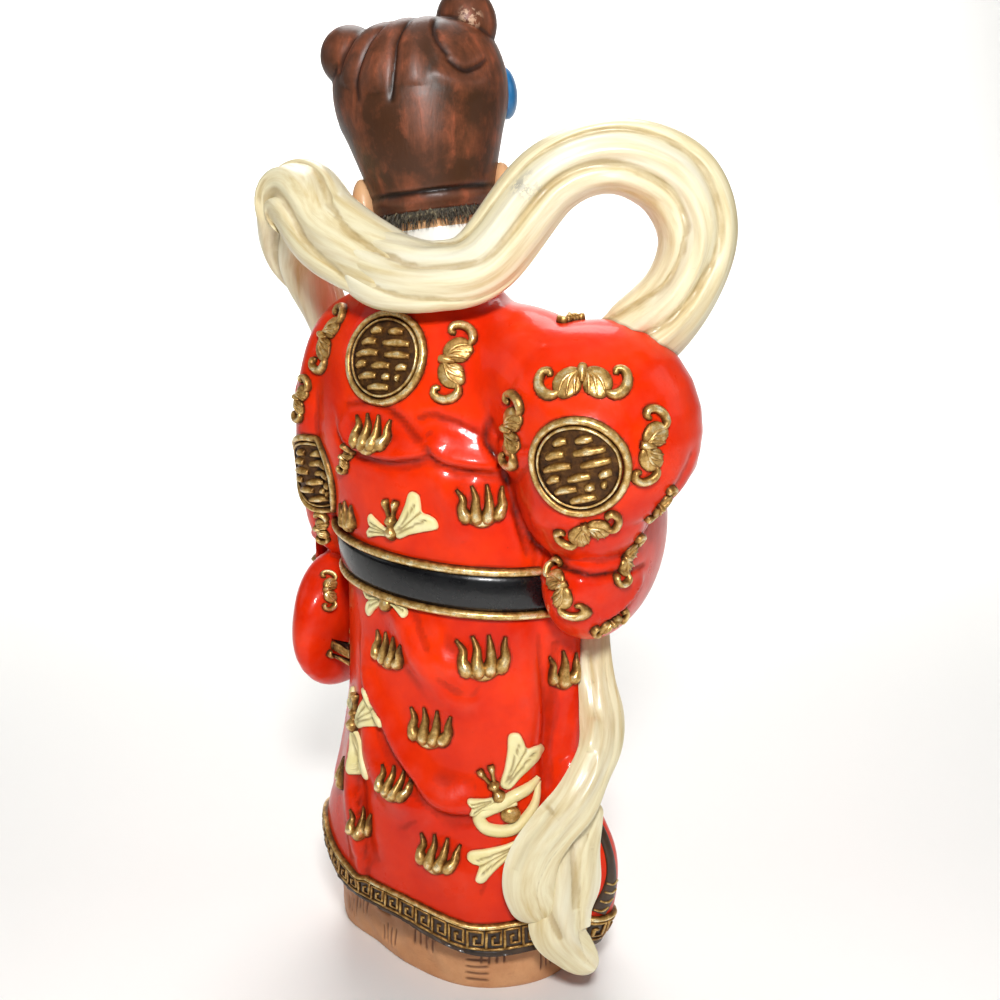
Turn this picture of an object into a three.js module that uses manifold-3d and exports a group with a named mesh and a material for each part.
// A cast resin figurine of a robed deity on a low oval plinth, in millimetres, with +Z up.
// The figure faces -Y, so its own left is +X, and the origin is the middle of the plinth's underside.
// Directions round the figure are azimuths in degrees: 0 is the front, 90 its left, 180 the back.
import * as THREE from 'three';
import { mergeVertices } from 'three/addons/utils/BufferGeometryUtils.js';
import Module from 'manifold-3d';

const wasm = await Module();
wasm.setup();

// Heights above the floor.
const HEM = 14;
const BORDER = 13;
const WAIST = 147;
const SHOULDER = 222;
const NECK = 250;

// The plinth's oval on the floor, half widths.
const PLINTH = { wide: 48.5, deep: 36, off: 3.5 };

// The belt's height, how far it and its rims stand out, and how much higher it sits on the left.
const BELT = { tall: 17, proud: 1.6, rim: 1.6, tilt: 3 };

// The robe's mean radius, and the height over which the hem's uneven lift dies away.
const GIRTH = 42;
const HEM_REACH = 70;

// Sizes of the raised ornaments on the cloth: radii or half spans, and how far they stand out.
const MEDALLION = { radius: 15, high: 1.8 };
const BAT = { span: 12, high: 1.8 };
const FLAME = { tall: 14, wide: 4.6, high: 2 };
const BUTTERFLY = { wing: 13, high: 1.8 };
// How deep every ornament is rooted below the cloth's face.
const SUNK = 4;

// The head: where its base stands, and how far it leans and turns to the figure's left.
const HEAD = { at: [11.5, -3, 262], lean: 8, turn: 32 };

const RED = 0xe0300c;
const RAD = Math.PI / 180;

// Smooth run through evenly spaced values, at t from 0 to 1.
function smooth(values, t) {
  const last = values.length - 1;
  const place = Math.min(Math.max(t, 0), 1) * last;
  const i = Math.min(Math.floor(place), last - 1);
  const f = place - i;
  const at = (k) => values[Math.min(Math.max(k, 0), last)];
  const [a, b, c, d] = [at(i - 1), at(i), at(i + 1), at(i + 2)];
  return b + 0.5 * f * (c - a + f * (2 * a - 5 * b + 4 * c - d + f * (3 * (b - c) + d - a)));
}

// The same run closed on itself, for values spaced evenly round the figure.
function around(values, azimuth) {
  const looped = [values.at(-1), ...values, values[0], values[1]];
  const turn = (((azimuth % 360) + 360) % 360) / 360;
  return smooth(looped, (1 + turn * values.length) / (looped.length - 1));
}

// A closed skin of rings: point(t, u) gives the ring at t from 0 to 1, at u round it from 0 to 1.
function skin(steps, sides, point) {
  const places = [];
  const faces = [];
  for (let i = 0; i <= steps; i++)
    for (let j = 0; j < sides; j++) places.push(point(i / steps, j / sides));
  for (let i = 0; i < steps; i++)
    for (let j = 0; j < sides; j++) {
      const k = (j + 1) % sides;
      const [a, b, c, d] = [i * sides + j, i * sides + k, (i + 1) * sides + k, (i + 1) * sides + j];
      faces.push(a, b, c, a, c, d);
    }
  for (const [first, turn] of [[0, 1], [steps * sides, 0]]) {
    const ring = places.slice(first, first + sides);
    const middle = ring.reduce((sum, p) => sum.add(p), new THREE.Vector3()).divideScalar(sides);
    const hub = places.push(middle) - 1;
    for (let j = 0; j < sides; j++) {
      const [a, b] = [first + j, first + ((j + 1) % sides)];
      faces.push(hub, turn ? b : a, turn ? a : b);
    }
  }
  return new THREE.BufferGeometry().setFromPoints(places).setIndex(faces);
}

// One row of a form: its section's centre, half width and half depth, and where its broad side faces.
const row = (x, y, z, wide, deep, facing = 180, up = 0) => ({ x, y, z, wide, deep, facing, up });

// A form with oval sections along its rows. The ends are rounded over the share `round` of its length.
function form(rows, { steps = 10, sides = 12, round = 0, shape = () => 1 } = {}) {
  const at = (name, t) => smooth(rows.map((r) => r[name]), t);
  const centre = (t) => new THREE.Vector3(at('x', t), at('y', t), at('z', t));
  return skin(steps, sides, (share, u) => {
    const t = round ? 0.5 - 0.5 * Math.cos(Math.PI * (0.02 + 0.96 * share)) : share;
    const along = centre(Math.min(t + 0.01, 1)).sub(centre(Math.max(t - 0.01, 0))).normalize();
    const [facing, up] = [at('facing', t) * RAD, at('up', t) * RAD];
    const face = new THREE.Vector3(
      Math.sin(facing) * Math.cos(up), -Math.cos(facing) * Math.cos(up), Math.sin(up));
    const across = new THREE.Vector3().crossVectors(face, along).normalize();
    face.crossVectors(along, across);
    const gap = round ? Math.max(0, 1 - Math.min(t, 1 - t) / round) : 0;
    const full = Math.sqrt(1 - gap * gap) * shape(t, u * 360);
    return centre(t)
      .addScaledVector(across, at('wide', t) * full * Math.cos(u * 2 * Math.PI))
      .addScaledVector(face, at('deep', t) * full * Math.sin(u * 2 * Math.PI));
  });
}

function solid(geometry) {
  const bare = geometry.clone();
  bare.deleteAttribute('normal');
  bare.deleteAttribute('uv');
  const merged = mergeVertices(bare, 1e-4);
  return new wasm.Manifold(new wasm.Mesh({
    numProp: 3,
    vertProperties: new Float32Array(merged.attributes.position.array),
    triVerts: new Uint32Array(merged.index.array),
  }));
}

const joined = (geometries) => geometries.map(solid).reduce((a, b) => a.add(b));

function surface(manifold) {
  const mesh = manifold.getMesh();
  const geometry = new THREE.BufferGeometry()
    .setAttribute('position', new THREE.BufferAttribute(new Float32Array(mesh.vertProperties), 3))
    .setIndex(new THREE.BufferAttribute(new Uint32Array(mesh.triVerts), 1));
  geometry.computeVertexNormals();
  return geometry;
}

// The robe, from the hem up to the neck.
const ROBE = [
  row(1, 1, HEM, 54, 42),
  row(1, 1, 40, 52, 40),
  row(0, 1, 66, 47, 38),
  row(-1, 0, 92, 45, 37),
  row(-1, 0, 118, 44, 36),
  row(0, 0, WAIST, 44, 35),
  row(4, 1, 170, 46, 35),
  row(7, 3, 194, 47, 33),
  row(9, 4, SHOULDER, 42, 27),
  row(12, 3, NECK, 15, 14),
];
// How high the hem hangs above the floor, every 30 degrees from the front.
const HEM_HEIGHTS = [22, 24, 30, 38, 42, 31, 28, 19, 20, 17, 18, 20];

// Folds of the cloth, each along a path of azimuths and heights, with its half width and its height.
const fold = (wide, high, ...path) => ({ wide, high, path });
const FOLDS = [
  // The blouse hanging over the belt at the back.
  fold(6, 3, [138, 201], [168, 201], [208, 183]),
  fold(6, 3, [196, 197], [214, 202], [236, 186]),
  fold(4, -2.4, [136, 192], [166, 176], [206, 180]),
  fold(4, -2, [206, 182], [220, 178], [234, 180]),
  fold(4, -2, [198, 203], [196, 194], [204, 187]),
  fold(4, 1.8, [168, 184], [176, 170], [180, 160]),
  // The skirt's long curved folds at the back and on the right.
  fold(6, 3, [150, 112], [164, 64], [212, 76]),
  fold(4, -2.2, [152, 92], [172, 54], [222, 66]),
  fold(4, -2, [163, 140], [176, 112], [206, 112]),
  fold(5, 2, [172, 140], [186, 120], [216, 122]),
  fold(5, -2.6, [252, 128], [252, 100], [240, 74]),
  fold(5, 2.4, [262, 130], [264, 100], [256, 60]),
  fold(5, 2.6, [138, 84], [146, 62], [162, 34]),
  fold(4, -2, [150, 70], [158, 52], [172, 32]),
  fold(6, 2, [196, 50], [206, 34], [214, 20]),
  // The plainer folds of the front and the left side.
  fold(6, 3, [92, 140], [98, 90], [108, 46]),
  fold(5, -2.5, [74, 138], [78, 90], [84, 40]),
  fold(6, 3, [58, 138], [60, 90], [64, 34]),
  fold(5, -2.5, [40, 138], [42, 90], [44, 30]),
  fold(6, 2.5, [20, 136], [22, 90], [26, 28]),
  fold(5, -2.5, [336, 138], [334, 90], [330, 24]),
  fold(6, 3, [316, 138], [314, 90], [308, 24]),
  fold(5, -2.5, [298, 136], [294, 90], [288, 24]),
  fold(6, 3, [282, 134], [278, 90], [272, 26]),
  // The collar's two edges crossing over the chest.
  fold(4, 3, [40, 240], [16, 205], [346, 164]),
  fold(4, 3, [326, 240], [350, 205], [6, 190]),
];

// Points along a fold's path, bent through its middle point.
const BEND_STEPS = 10;
function bend([from, through, to]) {
  return Array.from({ length: BEND_STEPS + 1 }, (_, i) => {
    const s = i / BEND_STEPS;
    return from.map((a, k) => a * (1 - s) ** 2 + 2 * through[k] * s * (1 - s) + to[k] * s * s);
  });
}
for (const one of FOLDS) {
  const turns = one.path.map(([azimuth, height], i, all) => {
    const ahead = azimuth - all[0][0];
    return [azimuth - 360 * Math.round(ahead / 360), height];
  });
  one.points = bend(turns);
}

// How far the cloth stands out of its plain section at an azimuth and height.
function drape(azimuth, height) {
  let out = 0;
  for (const { wide, high, points } of FOLDS) {
    let nearest = Infinity;
    let share = 0;
    points.forEach(([a, z], i) => {
      const turn = ((azimuth - a + 540) % 360) - 180;
      const gap = Math.hypot(turn * RAD * GIRTH, height - z);
      if (gap < nearest) [nearest, share] = [gap, i / (points.length - 1)];
    });
    const fade = 1 - (2 * share - 1) ** 4;
    out += high * (0.25 + 0.75 * fade) * Math.exp(-((nearest / wide) ** 2));
  }
  return out;
}

// The robe's rings from the hem to the neck. The dark border and the belt with its two rims are steps in it.
const BORDER_OUT = 1.2;
const KEY_OUT = 1.3;
const robeRings = [];
const addRing = (height, out, kind = 'cloth') => robeRings.push({ height, out, kind });
for (const share of [0, 0.2, 0.4, 0.6, 0.8, 1]) addRing(HEM + BORDER * share, BORDER_OUT, 'border');
for (const height of [31, 41, 51, 61, 71, 82, 94, 106, 118, 129]) addRing(height, 0);
const half = BELT.tall / 2;
for (const side of [-1, 1]) {
  const edges = [[half + 1, 0], [half + 0.6, BELT.rim + BELT.proud], [half - 1.6, BELT.rim + BELT.proud],
    [half - 2, BELT.proud]];
  if (side > 0) edges.reverse();
  for (const [gap, out] of edges) addRing(WAIST + side * gap, out, 'belt');
}
for (const height of [165, 174, 182, 190, 198, 207, 218, 230, 240, NECK]) addRing(height, 0);

// The share of the robe's rows at which they reach a height.
function shareAt(height) {
  let [low, high] = [0, 1];
  for (let i = 0; i < 30; i++) {
    const middle = (low + high) / 2;
    if (smooth(ROBE.map((r) => r.z), middle) < height) low = middle;
    else high = middle;
  }
  return (low + high) / 2;
}

// How much of the square wave on the border stands out at a column round the hem and a ring up it.
function keyAt(column, level) {
  const [low, high] = [level === 1 || level === 2, level === 3 || level === 4];
  const phase = column % 4;
  const raised = phase % 2 === 0 ? low || high : phase === 1 ? level === 4 : level === 1;
  return raised ? KEY_OUT : 0;
}

const ROBE_SIDES = 36;
const robe = skin(robeRings.length - 1, ROBE_SIDES, (t, u) => {
  const index = Math.round(t * (robeRings.length - 1));
  const { height, out, kind } = robeRings[index];
  const share = shareAt(height);
  const at = (name) => smooth(ROBE.map((r) => r[name]), share);
  const azimuth = u * 360;
  const turn = azimuth * RAD;
  const low = Math.max(0, 1 - (height - HEM) / HEM_REACH);
  const hang = (around(HEM_HEIGHTS, azimuth) - HEM) * low * low;
  const lift = kind === 'belt' ? BELT.tilt * Math.sin(turn) : hang;
  const key = kind === 'border' ? keyAt(Math.round(u * ROBE_SIDES), index) : 0;
  const away = out + key + (kind === 'belt' ? 0 : drape(azimuth, height + lift));
  return new THREE.Vector3(
    at('x') + (at('wide') + away) * Math.sin(turn),
    at('y') - (at('deep') + away) * Math.cos(turn),
    height + lift);
});

// The plinth, an uneven oval of ground that rises under the robe.
const BASE = [
  row(PLINTH.off, 0, 0, PLINTH.wide, PLINTH.deep),
  row(PLINTH.off, 0, 12, PLINTH.wide, PLINTH.deep),
  row(PLINTH.off - 1, 0, 24, PLINTH.wide - 1, PLINTH.deep - 1),
  row(PLINTH.off - 2, 0, 42, PLINTH.wide - 8, PLINTH.deep - 5),
];
// How far the plinth's edge departs from its oval, every 30 degrees from the front.
const EDGE = [0, 0, 0, 0, -2, -7, -4, 1, 1, 0, 0, 0];
const base = skin(3, 28, (t, u) => {
  const at = (name) => smooth(BASE.map((r) => r[name]), t);
  const turn = u * 2 * Math.PI;
  const edge = around(EDGE, u * 360);
  return new THREE.Vector3(
    at('x') + (at('wide') + edge) * Math.sin(turn), -(at('deep') + edge) * Math.cos(turn), at('z'));
});

// The sleeves, each an upper form round the bent arm and a wide bell that hangs from the forearm.
const RIGHT_SLEEVE = [
  row(-12, 2, 232, 14, 14, 205, 40),
  row(-32, 6, 213.5, 22, 24, 208, 30),
  row(-54, 6, 200, 33, 30, 210, 8),
  row(-50, 4, 178, 24, 29, 210, 0),
  row(-50, -2, 156, 17, 23, 210, 0),
];
const RIGHT_BELL = [
  row(-49, 20, 162, 14, 9, 265, 0),
  row(-53, 10, 157, 27, 15, 265, 0),
  row(-54, -6, 157, 29, 14, 272, 0),
  row(-51, -24, 160, 29, 14, 280, 0),
  row(-46, -38, 163, 24, 13, 285, 0),
];
const LEFT_SLEEVE = [
  row(28, 2, 236, 14, 14, 180, 45),
  row(39, 2, 216, 16, 22, 170, 30),
  row(44, 1, 192, 16, 24, 165, 0),
  row(47, -3, 164, 15, 22, 165, 0),
  row(51, -10, 140, 12, 18, 165, 0),
];
const LEFT_BELL = [
  row(53, 10, 138, 12, 8, 95, 0),
  row(57, 1, 122, 31, 10, 95, 0),
  row(59, -12, 122, 36, 11, 85, 0),
  row(56, -26, 130, 30, 12, 78, 0),
  row(51, -40, 136, 22, 12, 72, 0),
];
// The part of the right hem that shows beside the scarf's tail.
const HEM_LUMP = [
  row(-44, 6, 84, 5, 5, 250),
  row(-50, 6, 66, 6, 6, 240),
  row(-56, 6, 48, 8, 7, 230),
  row(-55, 7, 29, 8, 7, 230),
  row(-49, 9, 17, 7, 6, 230),
];
const sleeves = [
  form(HEM_LUMP, { steps: 6, sides: 9, round: 0.15 }),
  form(RIGHT_SLEEVE, { steps: 10, sides: 14, round: 0.2 }),
  form(RIGHT_BELL, { steps: 8, sides: 14, round: 0.12 }),
  form(LEFT_SLEEVE, { steps: 9, sides: 12, round: 0.2 }),
  form(LEFT_BELL, { steps: 8, sides: 14, round: 0.12 }),
];

// The closed hands in front of the cuffs.
const knuckles = (t, turn) => 1 + (t > 0.45 ? 0.06 * Math.cos(turn * RAD * 8) : 0);
const HANDS = [
  [row(-49, -36, 161, 8, 8, 280), row(-44, -48, 161, 9, 11, 280), row(-39, -60, 163, 8, 10, 280)],
  [row(48, -36, 139, 8, 8, 75), row(43, -48, 139, 9, 11, 75), row(37, -60, 141, 8, 10, 75)],
];
const hands = HANDS.map((rows) => form(rows, { steps: 6, sides: 12, round: 0.25, shape: knuckles }));

// The long scarf: two loops beside the neck, a broad band behind it, and a tail on each side.
const SCARF_LEFT = [
  row(46, -40, 140, 9, 5, 60, 0),
  row(57, -32, 168, 9, 5, 70, 0),
  row(61, -20, 200, 9, 5, 90, 0),
  row(63, -8, 228, 10, 6, 110, 0),
  row(64, 7, 251, 12, 9, 165, 0),
  row(51, 19, 268, 13, 12, 200, 10),
  row(35, 27, 259, 14, 7, 200, 10),
  row(20, 29, 252, 12, 6, 195, 20),
  row(4, 29, 246, 12, 6, 195, 30),
];
const SCARF_RIGHT = [
  row(22, 28, 251, 11, 6, 190, 20),
  row(8, 30, 247, 12, 6, 195, 25),
  row(-8, 28, 247, 12, 6, 200, 25),
  row(-22, 22, 256, 12, 7, 208, 15),
  row(-38, 10, 275, 11.5, 8, 212, 5),
  row(-55, 0, 282, 12.5, 8, 212),
  row(-71, -10, 275, 13, 8, 212),
  row(-78, -13, 259, 12.5, 8, 212),
  row(-74, -10, 241, 11.5, 8, 212, 5),
  row(-62, -3, 226, 11.5, 8, 212, 15),
  row(-49, 5, 219, 8, 7, 212, 30),
];
// The right tail: an upper ribbon that crosses over the broad flap at its foot.
const TAIL_OVER = [
  row(-47, -8, 133, 5, 4, 220),
  row(-49, -4, 121, 5.6, 4, 220),
  row(-52, -1, 110, 6.4, 4, 220),
  row(-56, 3, 100, 7.4, 4, 218),
  row(-59, 10, 92, 7.6, 4.5, 216, 5),
  row(-58, 16, 84, 7.8, 4.5, 214, 10),
  row(-56, 22, 76, 8, 4.5, 212, 10),
  row(-51, 27, 68, 8.2, 4.5, 212, 10),
  row(-46, 30, 58, 8.4, 4.5, 210, 10),
  row(-44, 31, 47, 8, 4.5, 208, 10),
  row(-45, 28, 36, 6, 4, 208, 10),
];
const TAIL_UNDER = [
  row(-55, 10, 73, 6, 4, 214),
  row(-52, 16, 60, 10, 5, 214, 10),
  row(-52, 20, 46, 11.5, 5, 212, 15),
  row(-53, 22, 36, 10.6, 5, 212, 15),
  row(-53, 24, 28, 8.6, 4.5, 212, 15),
  row(-57, 22, 21, 7, 4, 210, 10),
  row(-64, 20, 15, 4, 3.5, 210, 10),
];
const LEFT_TAIL = [
  row(42, -38, 142, 8, 5, 30),
  row(38, -32, 120, 9, 5, 30),
  row(33, -31, 94, 10, 5, 28, 5),
  row(34, -32, 68, 11, 5, 32, 10),
  row(39, -33, 46, 10, 5, 38, 12),
  row(43, -33, 32, 5, 4, 40, 10),
];
// Grooves that run lengthwise along the scarf.
const pleats = (count, depth) => (t, turn) => 1 + depth * Math.cos(turn * RAD * count + 5 * t);
const scarf = [
  form(SCARF_LEFT, { steps: 18, sides: 10, round: 0.04, shape: pleats(3, 0.08) }),
  form(SCARF_RIGHT, { steps: 20, sides: 9, round: 0.05, shape: pleats(4, 0.08) }),
  form(TAIL_OVER, { steps: 13, sides: 9, round: 0.05, shape: pleats(2, 0.08) }),
  form(TAIL_UNDER, { steps: 9, sides: 9, round: 0.06, shape: pleats(2, 0.08) }),
  form(LEFT_TAIL, { steps: 8, sides: 8, round: 0.08, shape: pleats(3, 0.08) }),
];

// The head in its own frame: it faces -Y and stands on the origin.
const CAP = [
  row(0, 3, 2, 20, 21),
  row(0, 3, 12, 22.5, 24),
  row(0, 3, 24, 26, 27),
  row(0, 2, 36, 28.5, 28),
  row(0, 2, 48, 28, 26),
  row(0, 2, 58, 23, 20),
  row(0, 2, 63, 12, 11),
];
const FACE = [
  row(0, -9, -12, 8, 8),
  row(0, -8, -2, 16, 14),
  row(0, -8, 10, 20, 17),
  row(0, -8, 22, 22, 18),
  row(0, -6, 34, 23, 20),
];
const NOSE = [row(0, -21, 23, 2, 3), row(0, -24, 16, 3, 4), row(0, -25, 10, 4, 4), row(0, -23, 8, 3, 3)];
const LIPS = [row(-6, -22.5, 2, 1, 1, 0), row(0, -24, 2, 2, 2, 0), row(6, -22.5, 2, 1, 1, 0)];
const BROW = [row(-15, -19, 24, 1.5, 2, 0), row(0, -25, 25, 1.8, 2, 0), row(15, -19, 24, 1.5, 2, 0)];
const NAPE = [row(0, 4, -24, 13, 13), row(0, 4, -8, 13.5, 14), row(0, 4, 4, 17, 17)];
const COLLAR = [row(0, 4, -20, 17, 17), row(0, 4, -10, 16.6, 16.6), row(0, 4, -4, 15.8, 15.8)];
const FRINGE = [row(0, 4, -2, 17, 17.5), row(0, 4, 0, 18.5, 19), row(0, 4, 6, 19, 20)];
const ball = (radius, x, y, z, stretch, sides = 8) =>
  new THREE.SphereGeometry(radius, sides, Math.round(sides * 0.7)).scale(...stretch).translate(x, y, z);
// The head cloth's two corner knots, and the round ornaments beside the brow, each right then left.
const KNOTS = [ball(10, -17.5, 4, 60, [1, 1, 1.15], 9), ball(10, 21, 4, 54, [1, 1, 1], 9)];
const DISCS = [ball(9, -27, -5, 38, [0.4, 1, 1], 7), ball(9, 25.5, -17, 38, [0.4, 1, 1], 7)];
// Pleats of the head cloth, running back over the crown between its two knots.
const crown = (t, turn) => 1 + (t > 0.5 ? 0.025 * Math.min(1, (t - 0.5) * 4) * Math.cos(turn * RAD * 6) : 0);
const head = [
  form(CAP, { steps: 9, sides: 18, shape: crown }),
  form(FACE, { steps: 6, sides: 14 }),
  form(NOSE, { steps: 3, sides: 6, round: 0.2 }),
  form(LIPS, { steps: 2, sides: 6, round: 0.3 }),
  form(BROW, { steps: 4, sides: 5, round: 0.2 }),
  form(NAPE, { steps: 2, sides: 14 }),
  form(COLLAR, { steps: 1, sides: 14 }),
  form(FRINGE, { steps: 2, sides: 18 }),
  ...KNOTS,
  ...DISCS,
];
// The ears and the eyes.
for (const side of [-1, 1]) {
  head.push(ball(8, side * 22.5, 0, 7, [0.5, 0.75, 1.25], 7));
  head.push(ball(3.4, side * 8, -23, 16.5, [1.3, 0.7, 0.8], 6));
}
const headTurn = new THREE.Matrix4().makeRotationFromEuler(
  new THREE.Euler(0, HEAD.lean * RAD, HEAD.turn * RAD, 'XYZ'));
for (const piece of head) piece.applyMatrix4(headTurn).translate(...HEAD.at);

const body = joined([robe, base, ...sleeves, ...hands, ...scarf, ...head]);

// Finds the surface seen along a level line from `facing`, `side` to the right of the axis, at a height.
const bodySkin = surface(body);
const target = new THREE.Mesh(bodySkin, new THREE.MeshBasicMaterial());
const caster = new THREE.Raycaster();
function seat(facing, side, height) {
  const turn = facing * RAD;
  const outward = new THREE.Vector3(Math.sin(turn), -Math.cos(turn), 0);
  const right = new THREE.Vector3(Math.cos(turn), Math.sin(turn), 0);
  const start = right.clone().multiplyScalar(side).addScaledVector(outward, 300).setZ(height);
  caster.set(start, outward.clone().negate());
  const [first] = caster.intersectObject(target);
  if (!first) throw new Error(`no cloth at ${facing}, ${side}, ${height}`);
  return { point: first.point, outward, right };
}

// A low mound with the given outline, laid on the cloth: rings shrink from the outline to its middle.
// The outline's points are across and up from the middle, and `turn` turns them.
function mound(place, outline, high, { turn = 0, rings = [[0.85, 1]] } = {}) {
  const [facing, side, height] = place;
  const [c, s] = [Math.cos(turn * RAD), Math.sin(turn * RAD)];
  const heights = [[1, -SUNK / high], ...rings];
  return skin(heights.length - 1, outline.length, (t, u) => {
    const [size, lift] = heights[Math.round(t * (heights.length - 1))];
    const [x, z] = outline[Math.round(u * outline.length)].map((v) => v * size);
    const { point, outward } = seat(facing, side + x * c - z * s, height + x * s + z * c);
    return point.addScaledVector(outward, high * lift);
  });
}
const ring = (radius, sides) => Array.from({ length: sides }, (_, i) => {
  const turn = (i / sides) * 2 * Math.PI;
  return [radius * Math.cos(turn), radius * Math.sin(turn)];
});
const bar = (x, z, wide, tall) =>
  [[1, -1], [1, 1], [-1, 1], [-1, -1]].map(([a, b]) => [x + a * wide, z + b * tall]);

// A round medallion with a raised rim and a few plain raised strokes in its middle.
function medallion(place, turn = 0, size = 1) {
  const { radius, high } = MEDALLION;
  const rim = mound(place, ring(radius * size, 14), high, { turn, rings: [[1, 1], [0.84, 1], [0.8, 0.3]] });
  const strokes = [bar(0, 4.5, 7, 1.5), bar(0, -4, 8, 1.5)];
  return [rim, ...strokes.map((one) => mound(
    place, one.map(([x, z]) => [x * size, z * size]), high, { turn, rings: [[1, 0.95]] }))];
}

// A bat with both wings spread: its outline, for a half span of 1.
const BAT_OUTLINE = [
  [1, 0.2], [0.7, 0.5], [0.25, 0.3], [-0.25, 0.3], [-0.7, 0.5], [-1, 0.2],
  [-0.5, -0.15], [0, -0.4], [0.5, -0.15],
];
const bat = (place, turn = 0, size = 1) =>
  mound(place, BAT_OUTLINE.map(([x, z]) => [x * BAT.span * size, z * BAT.span * size]), BAT.high, { turn });

// A row of flame tongues that stand on one low root, broad below and drawn to a tip above.
function flames(place, count = 4) {
  const { tall, wide, high } = FLAME;
  const outline = [[(count * wide) / 2, -0.25 * tall]];
  for (let i = count - 1; i >= 0; i--) {
    const x = (i - (count - 1) / 2) * wide;
    outline.push([x * 1.12, 0.55 * tall]);
    if (i) outline.push([x - wide / 2, 0]);
  }
  outline.push([(-count * wide) / 2, -0.25 * tall], [0, -0.42 * tall]);
  return mound(place, outline, high, { rings: [[0.9, 1]] });
}

// A butterfly seen from above: four wings and a round body.
const WING = [[0.5, -0.75], [0.85, -0.35], [0.5, 0], [1, 0.5], [0.5, 0.85]];
function butterfly(place, turn = 0) {
  const outline = [[0, -0.25], ...WING, [0, 0.3], ...WING.toReversed().map(([x, z]) => [-x, z])];
  return [
    mound(place, outline.map(([x, z]) => [x * BUTTERFLY.wing, z * BUTTERFLY.wing]), BUTTERFLY.high, { turn }),
    mound(place, ring(3.2, 6), BUTTERFLY.high * 1.7, { turn, rings: [[0.7, 1]] }),
  ];
}

// Each ornament's place: the azimuth it faces, how far right of the axis it lies seen so, and its height.
const BATS = [
  [[150, -22, 220], 80], [[200, 4, 219], 80], [[212, 16, 202], 80], [[212, 37, 217], 5], [[235, 31, 199], 70],
  [[212, 38, 168], 30], [[235, 31, 158], 60], [[212, 30, 148], -55], [[90, 4, 205], 80],
];
const FLAMES = [
  [[180, -12, 193], 4], [[205, 11, 173], 4], [[160, -10, 163], 3], [[180, -8, 120], 4], [[205, 12, 123], 4],
  [[260, 2, 114], 3], [[190, 3, 96], 4], [[180, -1, 76], 4], [[140, -7, 64], 3], [[160, -2, 57], 3],
  [[195, 4, 53], 4], [[90, 4, 66], 3], [[0, 10, 100], 4],
];
const relief = [
  ...medallion([180, -9, 220]), ...medallion([210, 36, 190], 8), ...medallion([150, -37, 176], 0, 0.9),
  ...BATS.map(([place, turn]) => bat(place, turn)),
  ...FLAMES.map(([place, count]) => flames(place, count)),
  ...butterfly([180, -3, 164]), ...butterfly([150, -6, 91], 20), ...butterfly([220, 4, 76], -30),
];

const figurine = new THREE.Mesh(
  surface(relief.map(solid).reduce((a, b) => a.add(b), body)),
  new THREE.MeshStandardMaterial({ color: RED, roughness: 0.3, metalness: 0 }));
figurine.name = 'figurine';

const model = new THREE.Group();
model.add(figurine);
export default model;
